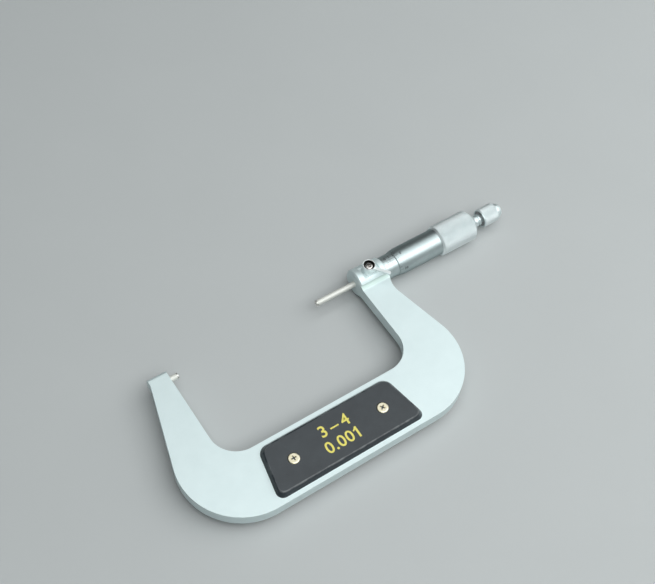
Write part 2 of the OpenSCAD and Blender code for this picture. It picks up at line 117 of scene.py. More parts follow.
def cutAway(piece, *cutters):
    for cutter in cutters:
        modify(piece, "BOOLEAN", object=cutter, operation="DIFFERENCE", solver="EXACT")
        bpy.data.objects.remove(cutter)


def weld(piece, gap):
    openAll(piece)
    bpy.ops.mesh.remove_doubles(threshold=gap * mm)


def settle(piece):  # the object's place goes into its mesh
    grab(piece)
    bpy.ops.object.transform_apply(location=True, rotation=True, scale=True)


def nameIt(piece, name):
    piece.name = name
    piece.data.name = name
    return piece


def smooth(piece, degrees=roundAngle):
    grab(piece)
    bpy.ops.object.shade_smooth_by_angle(angle=math.radians(degrees))
    # flat faces stay flat up to their edges
    modify(piece, "WEIGHTED_NORMAL", mode="FACE_AREA", weight=100, keep_sharp=True)


def place(piece, body, material, nodes=()):
    piece.data.materials.clear()
    piece.data.materials.append(material)
    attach(piece, body)
    if nodes:
        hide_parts(*nodes)


def join(pieces, name):
    grab(pieces[0])
    for piece in pieces:
        piece.select_set(True)
    bpy.ops.object.join()
    return nameIt(bpy.context.object, name)


def copyOf(piece, name):
    grab(piece)
    bpy.ops.object.duplicate()
    copy = nameIt(bpy.context.object, name)
    copy.parent = None
    return copy


# a box at the origin, its sizes in its mesh
def box(*sizes):
    clearTable()
    bpy.ops.mesh.primitive_cube_add(size=1)
    piece = bpy.context.object
    piece.scale = Vector(sizes) * mm
    settle(piece)
    return piece


# faces that a bevel has put in slot 1 are marked for worn edges and a painted edge highlight
def markWorn(piece):
    edgeWearAndSheen = piece.data.attributes.new("edgeWearAndSheen", "FLOAT", "FACE")
    for face in piece.data.polygons:
        edgeWearAndSheen.data[face.index].value = min(face.material_index, 1)
        face.material_index = 0


# a welded copy of a node from the CAD, with its sharp edges broken
def cadCopy(node, name, width, segments=2, angle=35, shade=roundAngle):
    flat = 0.3  # faces that differ by less, in degrees, are one
    piece = copyOf(frame["nodes"][node], name)
    del piece["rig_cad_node"]
    weld(piece, weldGap["cad"])
    bpy.ops.mesh.dissolve_limited(angle_limit=math.radians(flat))
    grab(piece)
    piece.data.materials.append(None)
    breakEdges(piece, width, angle, segments, material=1)
    markWorn(piece)
    smooth(piece, shade)
    return piece


# an outline of (station, radius) pairs, drawn point by point and spun about the spindle axis
def turnOnAxis(name, outline, steps=128):
    clearTable()
    bpy.ops.mesh.primitive_plane_add(size=mm)
    piece = nameIt(bpy.context.object, name)
    openAll(piece)
    bpy.ops.mesh.merge(type="CENTER")
    last = None
    for x, radius in outline:
        point = Vector((x, 0, radius)) * mm
        if last is None:
            bpy.ops.transform.translate(value=point)
        else:
            bpy.ops.mesh.extrude_region_move(TRANSFORM_OT_translate={"value": point - last})
        last = point
    grab(piece)
    uses = [index for edge in piece.data.edges for index in edge.vertices]
    for point in piece.data.vertices:
        point.select = uses.count(point.index) == 1  # the two ends of the outline
    bpy.ops.object.mode_set(mode="EDIT")
    bpy.ops.mesh.edge_face_add()
    bpy.ops.mesh.select_all(action="SELECT")
    bpy.ops.mesh.spin(steps=steps, angle=2 * math.pi, center=(0, 0, 0), axis=(1, 0, 0))
    weld(piece, weldGap["turned"])
    bpy.ops.mesh.normals_make_consistent(inside=False)
    grab(piece)
    return piece


# diamond knurl: a grid is poked, its old edges dissolved, and each diamond drawn to a point
def knurl(name, start, end, root, tip, around):
    wall = 0.5  # how far the ring reaches in from the grooves
    long = end - start
    clearTable()
    bpy.ops.mesh.primitive_cylinder_add(
        vertices=around, radius=root * mm, depth=long * mm, end_fill_type="NOTHING",
        location=((start + end) / 2 * mm, 0, 0), rotation=(0, math.pi / 2, 0))
    piece = nameIt(bpy.context.object, name)
    settle(piece)
    rows = round(long / (2 * math.pi * root / around))  # square cells
    pickEdges(piece, lambda a, b, seam: abs(a.x - b.x) > long / 2)
    bpy.ops.mesh.subdivide(number_cuts=rows - 1)
    openAll(piece, "EDGE")
    bpy.ops.mesh.mark_seam(clear=False)
    bpy.ops.mesh.select_mode(type="FACE")
    bpy.ops.mesh.select_all(action="SELECT")
    bpy.ops.mesh.poke()
    margin = 0.2 * long / rows  # the end rings keep their edges
    pickEdges(piece, lambda a, b, seam: seam and start + margin < (a.x + b.x) / 2 < end - margin)
    bpy.ops.mesh.dissolve_edges(use_verts=False)
    openAll(piece, "FACE")
    bpy.ops.mesh.poke(offset=(tip - root) * mm)
    openAll(piece, "EDGE")
    bpy.ops.mesh.mark_seam(clear=True)
    bpy.ops.mesh.select_all(action="DESELECT")
    bpy.ops.mesh.select_non_manifold()
    bpy.ops.mesh.extrude_edges_move()
    shrink = (root - wall) / root
    bpy.ops.transform.resize(value=(1, shrink, shrink), center_override=(0, 0, 0))
    bpy.ops.mesh.bridge_edge_loops()
    openAll(piece, "FACE")
    bpy.ops.mesh.normals_make_consistent(inside=False)
    grab(piece)
    groove = piece.data.attributes.new("groove", "FLOAT", "POINT")
    for point in piece.data.vertices:
        height = math.hypot(point.co.y, point.co.z) / mm
        groove.data[point.index].value = min(max((tip - height) / (tip - root), 0), 1)
    return piece


def textMesh(words, height, thickness, weight=0.0, spacing=1.0, gap=1.0):
    capitals = 0.69  # their share of the built-in font's size
    curveSteps = 4
    clearTable()
    bpy.ops.object.text_add()
    text = bpy.context.object.data
    text.body = words
    text.align_x = "CENTER"
    text.align_y = "CENTER"
    text.size = height * mm / capitals
    text.extrude = thickness / 2 * mm
    text.offset = weight * mm
    text.space_character = spacing
    text.space_word = gap
    text.resolution_u = curveSteps
    bpy.ops.object.convert(target="MESH")
    piece = bpy.context.object
    weld(piece, weldGap["text"])
    bpy.ops.mesh.normals_make_consistent(inside=False)
    grab(piece)
    return piece


# material tools, which pass sockets to each other
def shaderOf(material):
    return material.node_tree.nodes["Principled BSDF"]


def newMaterial(name, **values):
    labels = {"metal": "Metallic", "coat": "Coat Weight", "coatRough": "Coat Roughness",
              "specular": "Specular IOR Level", "edge": "Specular Tint"}
    material = bpy.data.materials.new(name)
    material.use_nodes = True
    for key, value in values.items():
        shaderOf(material).inputs[labels[key]].default_value = (*value, 1) if key == "edge" else value
    return material


def addNode(tree, kind, **settings):
    node = tree.nodes.new(kind)
    for key, value in settings.items():
        if hasattr(node, key):
            setattr(node, key, value)
        else:
            node.inputs[key].default_value = value
    return node


def reckon(tree, operation, *values):  # each value is a socket or a number
    node = addNode(tree, "ShaderNodeMath", operation=operation)
    for entry, value in zip(node.inputs, values):
        if isinstance(value, bpy.types.NodeSocket):
            tree.links.new(value, entry)
        else:
            entry.default_value = value
    return node.outputs[0]


def spread(tree, source, start, end, low=0.0, high=1.0):
    node = addNode(tree, "ShaderNodeMapRange")
    for label, value in (("From Min", start), ("From Max", end), ("To Min", low), ("To Max", high)):
        node.inputs[label].default_value = value
    tree.links.new(source, node.inputs["Value"])
    return node.outputs["Result"]


def coordinates(tree, stretch=(1, 1, 1)):
    where = addNode(tree, "ShaderNodeTexCoord")
    mapping = addNode(tree, "ShaderNodeMapping", Scale=stretch)
    tree.links.new(where.outputs["Object"], mapping.inputs["Vector"])
    return mapping.outputs["Vector"]


def noise(tree, size, detail, roughness, stretch=(1, 1, 1)):  # size in millimetres
    node = addNode(tree, "ShaderNodeTexNoise", Scale=1 / (size * mm), Detail=detail, Roughness=roughness)
    tree.links.new(coordinates(tree, stretch), node.inputs["Vector"])
    return node.outputs["Fac"]


# what a shader input shows so far gives way to another value, by a share
def giveWay(material, label, share, value):
    tree = material.node_tree
    entry = shaderOf(material).inputs[label]
    colour = label == "Base Color"
    first, second, result = (6, 7, 2) if colour else (2, 3, 0)  # a Mix node's sockets
    mix = addNode(tree, "ShaderNodeMix", data_type="RGBA" if colour else "FLOAT")
    mix.inputs[second].default_value = (*value, 1) if colour else value
    tree.links.new(share, mix.inputs["Factor"])
    tree.links.new(entry.links[0].from_socket, mix.inputs[first])
    tree.links.new(mix.outputs[result], entry)


# colour, roughness and bump from noise at sizes given in millimetres
def grain(material, mottle, tones, rough, bumpGrain, bumpHeight, stretch=(1, 1, 1),
          mottleStretch=(1, 1, 1)):
    tree = material.node_tree
    shader = shaderOf(material)
    ramp = addNode(tree, "ShaderNodeValToRGB")
    stops = (0.3, 0.7)  # where on the noise the two tones stand
    for stop, position, tone in zip(ramp.color_ramp.elements, stops, tones):
        stop.position = position
        stop.color = (*tone, 1)
    coarse = noise(tree, mottle, detail=5.0, roughness=0.6, stretch=mottleStretch)
    tree.links.new(coarse, ramp.inputs["Fac"])
    tree.links.new(ramp.outputs["Color"], shader.inputs["Base Color"])
    fine = noise(tree, bumpGrain, detail=3.0, roughness=0.55, stretch=stretch)
    sheen = spread(tree, fine, start=0.25, end=0.75, low=rough[0], high=rough[1])
    tree.links.new(sheen, shader.inputs["Roughness"])
    bump = addNode(tree, "ShaderNodeBump", Strength=1.0, Distance=bumpHeight * mm)
    tree.links.new(fine, bump.inputs["Height"])
    tree.links.new(bump.outputs["Normal"], shader.inputs["Normal"])
    return material


# edges rubbed through in patches, on the marked bevel faces; on the black plate the lighter patches also
# paint a highlight along the rim
def wornEdges(material, tone, rough, patch, amount):
    tree = material.node_tree
    edge = addNode(tree, "ShaderNodeAttribute", attribute_name="edgeWearAndSheen")
    patches = noise(tree, patch, detail=4.0, roughness=0.6)
    wearAndSheenShare = spread(tree, patches, start=0.42, end=0.62, high=amount)
    share = reckon(tree, "MULTIPLY", edge.outputs["Fac"], wearAndSheenShare)
    giveWay(material, "Base Color", share, tone)
    giveWay(material, "Roughness", share, rough)


# old oil and painted shade in the grooves of a knurl, most of it at their bottom
def oilyGrooves(material, tone, amount, power=5):
    tree = material.node_tree
    groove = addNode(tree, "ShaderNodeAttribute", attribute_name="groove")
    bottom = reckon(tree, "POWER", groove.outputs["Fac"], power)
    giveWay(material, "Base Color", reckon(tree, "MULTIPLY", bottom, amount), tone)


# painted shade in the hollow between hub and arm, above the arm's face and below the hub's round
def oilyHollow(material, look):
    tree = material.node_tree
    axes = addNode(tree, "ShaderNodeSeparateXYZ")
    tree.links.new(coordinates(tree), axes.inputs["Vector"])
    height = reckon(tree, "ABSOLUTE", axes.outputs["Z"])
    above = spread(tree, height, look["face"] * mm, (look["face"] + look["fade"]) * mm)
    below = spread(tree, axes.outputs["Y"], look["round"] * mm, (look["round"] - look["fade"]) * mm)
    share = reckon(tree, "MULTIPLY", reckon(tree, "MULTIPLY", above, below), look["amount"])
    giveWay(material, "Base Color", share, look["tone"])


# finishes of the bow, the cover plates and their screws, and the two inks
hollowLook = {"face": 3.5, "round": -5.4, "fade": 0.25, "tone": (0.55, 0.67, 0.63), "amount": 0.9}
enamel = grain(newMaterial("frameEnamel", metal=0.6, coat=0.15, coatRough=0.3), mottle=9,
               tones=[(0.77, 0.875, 0.88), (0.802, 0.907, 0.912)], rough=(0.51, 0.61),
               bumpGrain=0.5, bumpHeight=0.010)
wornEdges(enamel, tone=(0.90, 0.95, 0.95), rough=0.28, patch=7, amount=0.7)
# painted shade in the hollow between hub and arm
oilyHollow(enamel, hollowLook)
blackPlastic = grain(newMaterial("blackPlastic", specular=0.62), mottle=12,
                     tones=[(0.021, 0.027, 0.033), (0.031, 0.039, 0.046)], rough=(0.18, 0.28),
                     bumpGrain=0.35, bumpHeight=0.004)
# on the black plate the lighter rim patches are partly wear, partly a painted highlight
wornEdges(blackPlastic, tone=(0.11, 0.12, 0.125), rough=0.2, patch=5, amount=0.8)
goldPlate = grain(newMaterial("goldPlate", metal=1.0), mottle=2,
                  tones=[(0.80, 0.72, 0.50), (0.88, 0.83, 0.68)], rough=(0.24, 0.36),
                  bumpGrain=0.4, bumpHeight=0.003)
yellowInk = grain(newMaterial("yellowPrint"), mottle=2,
                  tones=[(0.76, 0.66, 0.12), (0.83, 0.74, 0.18)], rough=(0.42, 0.56),
                  bumpGrain=0.25, bumpHeight=0.004)
blackInk = grain(newMaterial("engravedBlack"), mottle=1,
                 tones=[(0.020, 0.020, 0.022), (0.045, 0.045, 0.048)], rough=(0.55, 0.7),
                 bumpGrain=0.15, bumpHeight=0.003)

# plated finishes: brushed along the turned parts, blasted on the grips
brushed = {"mottle": 14, "mottleStretch": (3, 1, 1), "bumpGrain": 1.2, "bumpHeight": 0.0006,
           "stretch": (14, 1, 1)}
blasted = {"mottle": 4, "rough": (0.46, 0.60), "bumpGrain": 0.3, "bumpHeight": 0.004}
grazing = (0.2, 0.22, 0.22)  # tint of the plating at its edges
chrome = grain(newMaterial("satinChrome", metal=1.0, edge=grazing),
               tones=[(0.515, 0.59, 0.595), (0.575, 0.65, 0.655)], rough=(0.38, 0.47), **brushed)
# the sleeve's plating is the same satin chrome, painted lighter to stand for the light it catches
litSleeveChrome = grain(newMaterial("litSleeveChrome", metal=1.0, edge=grazing),
                     tones=[(0.59, 0.67, 0.675), (0.65, 0.73, 0.735)], rough=(0.40, 0.50), **brushed)
knurlChrome = grain(newMaterial("knurlChrome", metal=1.0),
                    tones=[(0.78, 0.86, 0.865), (0.86, 0.93, 0.935)], **blasted)
gripChrome = grain(newMaterial("gripChrome", metal=1.0),
                   tones=[(0.86, 0.92, 0.925), (0.92, 0.965, 0.97)], **blasted)
# old oil and painted shade at the bottom of the knurls' grooves
oilyGrooves(gripChrome, tone=(0.35, 0.38, 0.38), amount=0.5)

# unplated steels, and the metals of small parts
groundSteel = grain(newMaterial("groundSteel", metal=0.45), mottle=10,
                    tones=[(0.76, 0.76, 0.71), (0.84, 0.84, 0.79)], rough=(0.56, 0.68),
                    bumpGrain=0.9, bumpHeight=0.0008, stretch=(12, 1, 1))
carbide = grain(newMaterial("lappedCarbide", metal=1.0), mottle=3,
                tones=[(0.70, 0.69, 0.65), (0.78, 0.77, 0.73)], rough=(0.40, 0.52),
                bumpGrain=0.2, bumpHeight=0.001)
brightSteel = grain(newMaterial("brightSteel", metal=0.7), mottle=5,
                    tones=[(0.86, 0.91, 0.91), (0.92, 0.96, 0.96)], rough=(0.42, 0.52),
                    bumpGrain=0.6, bumpHeight=0.0006)
nickel = grain(newMaterial("polishedNickel", metal=1.0), mottle=4,
               tones=[(0.58, 0.55, 0.53), (0.68, 0.64, 0.62)], rough=(0.10, 0.18),
               bumpGrain=0.5, bumpHeight=0.001)
padBrass = grain(newMaterial("padBrass", metal=1.0), mottle=2,
                 tones=[(0.62, 0.45, 0.18), (0.74, 0.56, 0.26)], rough=(0.26, 0.40),
                 bumpGrain=0.3, bumpHeight=0.003)
turnedSteel = grain(newMaterial("turnedSteel", metal=1.0), mottle=5,
                    tones=[(0.40, 0.40, 0.41), (0.52, 0.52, 0.53)], rough=(0.26, 0.42),
                    bumpGrain=0.8, bumpHeight=0.001, stretch=(10, 1, 1))
# near-black steel for the painted shade in the lock ring's recess
recessShadeSteel = grain(newMaterial("recessShadeSteel", metal=1.0), mottle=2,
                   tones=[(0.060, 0.058, 0.055), (0.10, 0.096, 0.09)], rough=(0.30, 0.45),
                   bumpGrain=0.5, bumpHeight=0.001)
print("materials ready")

# bow frame: the CAD's own shape, with its edges broken
frameLook = {"edge": 0.4, "segments": 3, "sharp": 22}
bow = cadCopy("frame", "bowFrame", frameLook["edge"], frameLook["segments"], frameLook["sharp"],
              shade=frameLook["sharp"])
place(bow, "body", enamel, ["frame"])
print("frame done:", len(bow.data.polygons), "faces")

# cover plates: a slab drawn in to a trapezoid, its corners and top edge rounded
plateLook = {"middle": (48.15, -70.05), "top": 73.9, "bottom": 84.3, "depth": 27.7, "foot": 3.5,
             "face": 6.0, "corner": 4.5, "cornerSteps": 8, "lean": 1.5, "edge": 0.6, "edgeSteps": 4,
             "shade": 40}


def coverPlate(name, look):
    middle = Vector((*look["middle"], (look["foot"] + look["face"]) / 2)) * mm
    piece = nameIt(box(look["bottom"], look["depth"], look["face"] - look["foot"]), name)
    piece.location = middle
    settle(piece)
    pickFaces(piece, (0, 1, 0))  # the side along the throat is the shorter one
    bpy.ops.transform.resize(value=(look["top"] / look["bottom"], 1, 1), center_override=middle)
    pickEdges(piece, lambda a, b, seam: abs(a.z - b.z) > touch)
    bpy.ops.mesh.bevel(offset=look["corner"] * mm, segments=look["cornerSteps"], affect="EDGES")
    pickFaces(piece, (0, 0, 1))  # the walls lean in to the top face
    inX = 1 - 2 * look["lean"] / look["bottom"]
    inY = 1 - 2 * look["lean"] / look["depth"]
    bpy.ops.transform.resize(value=(inX, inY, 1), center_override=middle)
    pickEdges(piece, lambda a, b, seam: min(a.z, b.z) > look["face"] - touch)
    piece.data.materials.append(None)
    piece.data.materials.append(None)
    bpy.ops.mesh.bevel(offset=look["edge"] * mm, segments=look["edgeSteps"], affect="EDGES", material=1)
    grab(piece)
    markWorn(piece)
    smooth(piece, look["shade"])
    return piece


frontPlate = coverPlate("frontPlate", plateLook)
place(frontPlate, "body", blackPlastic, ["front_plate"])
backPlate = copyOf(frontPlate, "backPlate")
openAll(backPlate, "FACE")
bpy.ops.transform.mirror(constraint_axis=(False, False, True), center_override=(0, 0, 0))
bpy.ops.mesh.normals_make_consistent(inside=False)
smooth(backPlate, plateLook["shade"])
place(backPlate, "body", blackPlastic, ["back_plate"])
print("cover plates done")

# plain yellow numbers on the front plate; the built-in font draws its one as a bare bar, so a flag is
# laid against its top
printLook = {"lines": [("3 – 4", -65.9), ("0.001", -74.6)], "height": 5.9, "ink": 0.04, "weight": 0.12,
             "spacing": 1.08, "gap": 0.55}
flagLook = {"long": 2.4, "wide": 0.85, "taper": 0.8, "turn": 38, "in": 1.35, "down": 1.25, "sunk": 0.004}
printed = []
for words, y in printLook["lines"]:
    line = textMesh(words, printLook["height"], printLook["ink"], printLook["weight"],
                    printLook["spacing"], printLook["gap"])
    line.location = Vector((plateLook["middle"][0], y, plateLook["face"])) * mm
    settle(line)
    printed.append(line)
rightEnd = max(point.co.x for point in line.data.vertices) / mm
topEnd = max(point.co.y for point in line.data.vertices) / mm
flag = box(flagLook["long"], flagLook["wide"], printLook["ink"])
pickFaces(flag, (-1, 0, 0))
bpy.ops.transform.resize(value=(1, flagLook["taper"], 1), center_override=(0, 0, 0))
grab(flag)
flag.rotation_euler = (0, 0, math.radians(flagLook["turn"]))
flag.location = Vector((rightEnd - flagLook["in"], topEnd - flagLook["down"],
                        plateLook["face"] - flagLook["sunk"])) * mm
settle(flag)
plateNumbers = join([*printed, flag], "plateNumbers")
place(plateNumbers, "body", yellowInk)

# cross-recess screws: a domed head, its cross cut by a tapered bit
screwLook = {"head": 6.2, "tall": 1.5, "dome": 0.8, "shank": 3.0, "seat": 5.0, "end": 0.25, "cross": 3.9,
             "slot": 0.85, "deep": 0.55, "at": [(22.7, -70.05), (73.6, -70.05)], "frontTurns": (0, 37),
             "backTurns": (55, 12)}
screwSteps = {"around": 48, "dome": 6, "shade": 40}
bitTaper = (0.45, 0.7, 1)  # a wing's length and width at its tip, as shares


def bitWing(look, turn):
    piece = box(look["cross"], look["slot"], 2 * look["deep"])
    pickFaces(piece, (0, 0, -1))
    bpy.ops.transform.resize(value=bitTaper, center_override=(0, 0, 0))
    grab(piece)
    piece.rotation_euler = (0, 0, math.radians(turn))
    piece.location = (0, 0, (look["seat"] + look["tall"]) * mm)
    settle(piece)
    return piece


def crossScrew(name, look):
    clearTable()
    bpy.ops.mesh.primitive_cylinder_add(
        vertices=screwSteps["around"], radius=look["head"] / 2 * mm, depth=look["tall"] * mm,
        location=(0, 0, (look["seat"] + look["tall"] / 2) * mm))
    piece = nameIt(bpy.context.object, name)
    settle(piece)
    top = look["seat"] + look["tall"]
    pickEdges(piece, lambda a, b, seam: min(a.z, b.z) > top - touch)
    bpy.ops.mesh.bevel(offset=look["dome"] * mm, segments=screwSteps["dome"], affect="EDGES")
    pickFaces(piece, (0, 0, -1))
    bpy.ops.mesh.inset(thickness=(look["head"] - look["shank"]) / 2 * mm)
    down = (0, 0, (look["end"] - look["seat"]) * mm)
    bpy.ops.mesh.extrude_region_move(TRANSFORM_OT_translate={"value": down})
    cutAway(piece, bitWing(look, 0), bitWing(look, 90))
    smooth(piece, screwSteps["shade"])
    return piece


def copyTo(piece, name, turn, shift, flip=False):
    copy = copyOf(piece, name)
    copy.rotation_euler = (math.pi if flip else 0, 0, math.radians(turn))
    copy.location = Vector(shift) * mm
    settle(copy)
    return copy


def screwPair(name, pattern, turns, flip):
    return join([copyTo(pattern, "screw", turn, (*spot, 0), flip)
                 for turn, spot in zip(turns, screwLook["at"])], name)


pattern = crossScrew("screwPattern", screwLook)
frontScrews = screwPair("frontPlateScrews", pattern, screwLook["frontTurns"], False)
backScrews = screwPair("backPlateScrews", pattern, screwLook["backTurns"], True)
bpy.data.objects.remove(pattern)
place(frontScrews, "body", goldPlate, ["front_plate_screws"])
place(backScrews, "body", goldPlate, ["back_plate_screws"])
print("plate screws done")

# spindle lock: the ring and its lever keep the CAD's shape, the screw gets its cross
lockLook = {"edge": 0.22, "segments": 3, "axis": 113.6, "head": 4.8, "tall": 1.6, "dome": 1.1,
            "shank": 2.6, "seat": 9.2, "end": 4.1, "cross": 3.2, "slot": 0.7, "deep": 0.9, "turn": 15,
            "cup": 5.98, "cupDeep": 2.0, "cupWall": 0.05, "cupSteps": 64}


# a dark lining of painted shade inside the ring's recess
def lockCup(look):
    clearTable()
    bpy.ops.mesh.primitive_cylinder_add(
        vertices=look["cupSteps"], radius=look["cup"] / 2 * mm, depth=look["cupDeep"] * mm,
        location=Vector((look["axis"], 0, look["seat"] + look["cupDeep"] / 2)) * mm)
    piece = nameIt(bpy.context.object, "lockRecessShade")
    settle(piece)
    pickFaces(piece, (0, 0, 1))
    bpy.ops.mesh.inset(thickness=look["cupWall"] * mm)
    down = (0, 0, (look["cupWall"] - look["cupDeep"]) * mm)
    bpy.ops.mesh.extrude_region_move(TRANSFORM_OT_translate={"value": down})
    smooth(piece)
    return piece


lever = cadCopy("lock_lever", "lockLever", lockLook["edge"], lockLook["segments"])
place(lever, "lock", brightSteel, ["lock_lever"])
# painted shade lining the ring's recess
place(lockCup(lockLook), "lock", recessShadeSteel)
pattern = crossScrew("lockPattern", lockLook)
lockScrew = copyTo(pattern, "lockScrew", lockLook["turn"], (lockLook["axis"], 0, 0))
bpy.data.objects.remove(pattern)
place(lockScrew, "lock", nickel, ["lock_screw"])
print("lock done")

# sleeve: turned tube, with a small hole below for setting its zero
sleeveLook = {"start": 122.56, "end": 152.0, "out": 6.5, "in": 5.23, "edge": 0.15, "edgeAngle": 35,
              "hole": 1.6, "holeAt": 123.75, "holeSteps": 32, "overrun": 1.0}


def sleeveTube(look):
    piece = turnOnAxis("sleeveTube", [(look["start"], look["in"]), (look["start"], look["out"]),
                                      (look["end"], look["out"]), (look["end"], look["in"])])
    breakEdges(piece, look["edge"], look["edgeAngle"])
    clearTable()
    bpy.ops.mesh.primitive_cylinder_add(
        vertices=look["holeSteps"], radius=look["hole"] / 2 * mm, depth=2 * look["in"] * mm,
        location=Vector((look["holeAt"], 0, look["overrun"] - 2 * look["in"])) * mm)
    drill = bpy.context.object
    settle(drill)
    cutAway(piece, drill)
    weld(piece, weldGap["turned"])
    smooth(piece)
    return piece


place(sleeveTube(sleeveLook), "sleeve", litSleeveChrome, ["sleeve"])


# one engraved line round the sleeve, from the datum line down, as a thin bent bar
def ringLine(x, width, radius, proud, sweep, steps=6):
    clearTable()
    bpy.ops.mesh.primitive_plane_add(size=1, location=(x * mm, 0, radius * mm),
                                     rotation=(math.pi / 2, 0, 0))
    piece = bpy.context.object
    piece.scale = (width * mm, 2 * proud * mm, 1)
    settle(piece)
    openAll(piece, "FACE")
    bpy.ops.mesh.spin(steps=steps, angle=-sweep, center=(0, 0, 0), axis=(1, 0, 0))
    bpy.ops.mesh.select_all(action="SELECT")
    bpy.ops.mesh.normals_make_consistent(inside=False)
    grab(piece)
    return piece


# a flat mark is leant and lifted to the surface, then turned round the axis
def layMark(piece, x, radius, lean, turn):
    piece.rotation_euler = (0, -lean, 0)
    piece.location = Vector((x, 0, radius)) * mm
    settle(piece)
    piece.rotation_euler = (-turn, 0, 0)
    settle(piece)
    return piece


def straightLine(x0, r0, x1, r1, width, proud, turn):
    bar = box(math.hypot(x1 - x0, r1 - r0), width, 2 * proud)
    return layMark(bar, (x0 + x1) / 2, (r0 + r1) / 2, math.atan2(r1 - r0, x1 - x0), turn)


digitLook = {"body": 0.06, "weight": 0.01, "sunk": 0.015}


def digitAt(words, x, radius, turn, height, proud, lean=0.0):
    digit = textMesh(words, height, 2 * proud + digitLook["body"], digitLook["weight"])
    return layMark(digit, x, radius - digitLook["sunk"], lean, turn)


# the sleeve's lines stand a fortieth of an inch apart, every fourth one long and numbered
sleeveScale = {"zero": 125.0, "pitch": 0.635, "marks": 41, "longEvery": 4, "line": 0.1, "proud": 0.012,
               "short": 1.7, "long": 2.9, "digit": 1.6, "digitTurn": 12, "datumStart": 0.5,
               "datumEnd": 0.3}


def sleeveMarks(look, tube):
    out, line, proud = tube["out"], look["line"], look["proud"]
    stations = [look["zero"] + count * look["pitch"] for count in range(look["marks"])]
    marks = [straightLine(tube["start"] + look["datumStart"], out, tube["end"] - look["datumEnd"], out,
                          line, proud, 0)]
    for count, x in enumerate(stations):
        reach = look["long"] if count % look["longEvery"] == 0 else look["short"]
        marks.append(ringLine(x, line, out, proud, reach / out))
    for count, x in enumerate(stations[::look["longEvery"]]):
        marks.append(digitAt(str(count % 10), x, out, math.radians(look["digitTurn"]), look["digit"],
                             proud))
    print("sleeve done:", len(marks), "marks")
    return join(marks, "sleeveGraduations")


place(sleeveMarks(sleeveScale, sleeveLook), "sleeve", blackInk)

# thimble: turned shell with a bevelled lip
thimbleLook = {"front": 130.08, "lip": 6.83, "lipLong": 0.35, "lipRise": 0.05, "bevelEnd": 134.28,
               "plain": 7.4, "knurlStart": 157.98, "knurl": 159.18, "knurlEnd": 180.38, "grip": 8.6,
               "end": 183.58, "rim": 4.8, "neck": 3.22, "seatEnd": 173.1, "seatSmall": 2.32,
               "wall": 163.3, "seat": 2.92, "bore": 6.58, "edge": 0.12, "edgeAngle": 12, "steps": 160}
# its grip: the knurl and a thin cone at each end, which lie on the shell
gripLook = {"tooth": 0.26, "around": 66, "sunk": 0.02, "skin": 0.03, "inset": 0.05, "overlap": 0.1,
            "rimSkin": 0.1, "foot": 0.3, "buried": 0.4, "frontSteps": 128, "backSteps": 96}


def thimbleShell(look, grip):
    under = look["grip"] - grip["tooth"] - grip["sunk"]
    piece = turnOnAxis("thimbleShell", [
        (look["front"], look["bore"]), (look["front"] + look["lipLong"], look["lip"] + look["lipRise"]),
        (look["bevelEnd"], look["plain"]), (look["knurlStart"], look["plain"]), (look["knurl"], under),
        (look["knurlEnd"], under), (look["end"], look["rim"]), (look["end"], look["neck"]),
        (look["seatEnd"], look["neck"]), (look["seatEnd"], look["seatSmall"]),
        (look["wall"], look["seat"]), (look["wall"], look["bore"])], look["steps"])
    breakEdges(piece, look["edge"], look["edgeAngle"])
    smooth(piece)
    return piece


def thimbleGrip(look, grip):
    root = look["grip"] - grip["tooth"]
    skin, inset, deep = root + grip["skin"], grip["inset"], root - grip["buried"]
    front, back = look["knurlStart"] + inset, look["end"] - inset
    frontLap, backLap = look["knurl"] + grip["overlap"], look["knurlEnd"] + grip["skin"]
    teeth = knurl("thimbleKnurl", look["knurl"] + grip["sunk"], look["knurlEnd"] + inset, root,
                  look["grip"], grip["around"])
    frontCone = turnOnAxis("frontCone", [
        (front, look["plain"] - grip["foot"]), (front, look["plain"] + grip["skin"]),
        (look["knurl"] + grip["skin"], skin), (frontLap, skin), (frontLap, deep)], grip["frontSteps"])
    backCone = turnOnAxis("backCone", [
        (backLap, deep), (backLap, skin), (back, look["rim"] + grip["rimSkin"]),
        (back, look["rim"] - grip["foot"])], grip["backSteps"])
    smooth(frontCone)
    smooth(backCone)
    return join([teeth, frontCone, backCone], "thimbleKnurl")


place(thimbleShell(thimbleLook, gripLook), "thimble", chrome, ["thimble"])
thimbleKnurl = thimbleGrip(thimbleLook, gripLook)
place(thimbleKnurl, "thimble", gripChrome)

# the thimble's lines run up its bevel, every fifth one long and numbered
thimbleScale = {"divisions": 25, "longEvery": 5, "line": 0.11, "proud": 0.012, "start": 0.4,
                "short": 1.7, "long": 2.6, "digit": 1.5, "digitGap": 1.3}


def thimbleMarks(look, shell):
    front, lip = shell["front"], shell["lip"]
    rise = (shell["plain"] - lip) / (shell["bevelEnd"] - front)
    start, digitIn = look["start"], look["long"] + look["digitGap"]
    marks = []
    for count in range(look["divisions"]):
        turn = 2 * math.pi * count / look["divisions"]
        numbered = count % look["longEvery"] == 0
        reach = look["long"] if numbered else look["short"]
        marks.append(straightLine(front + start, lip + start * rise, front + reach, lip + reach * rise,
                                  look["line"], look["proud"], turn))
        if numbered:
            marks.append(digitAt(str(count), front + digitIn, lip + digitIn * rise, turn, look["digit"],
                                 look["proud"], math.atan(rise)))
    return join(marks, "thimbleGraduations")


place(thimbleMarks(thimbleScale, thimbleLook), "thimble", blackInk)
print("thimble done:", len(thimbleKnurl.data.polygons), "knurl faces")

# ratchet stop: a hollow turned knob, and its knurl
knobLook = {"start": 189.04, "end": 201.8, "out": 5.3, "taper": 3.4, "drop": 1.9, "hollow": 4.4,
            "hollowEnd": 198.3, "hole": 1.23, "head": 2.46, "headSeat": 200.05, "edge": 0.15,
            "edgeAngle": 30, "steps": 96, "tooth": 0.2, "around": 44, "sunk": 0.02, "gripStart": 0.5}


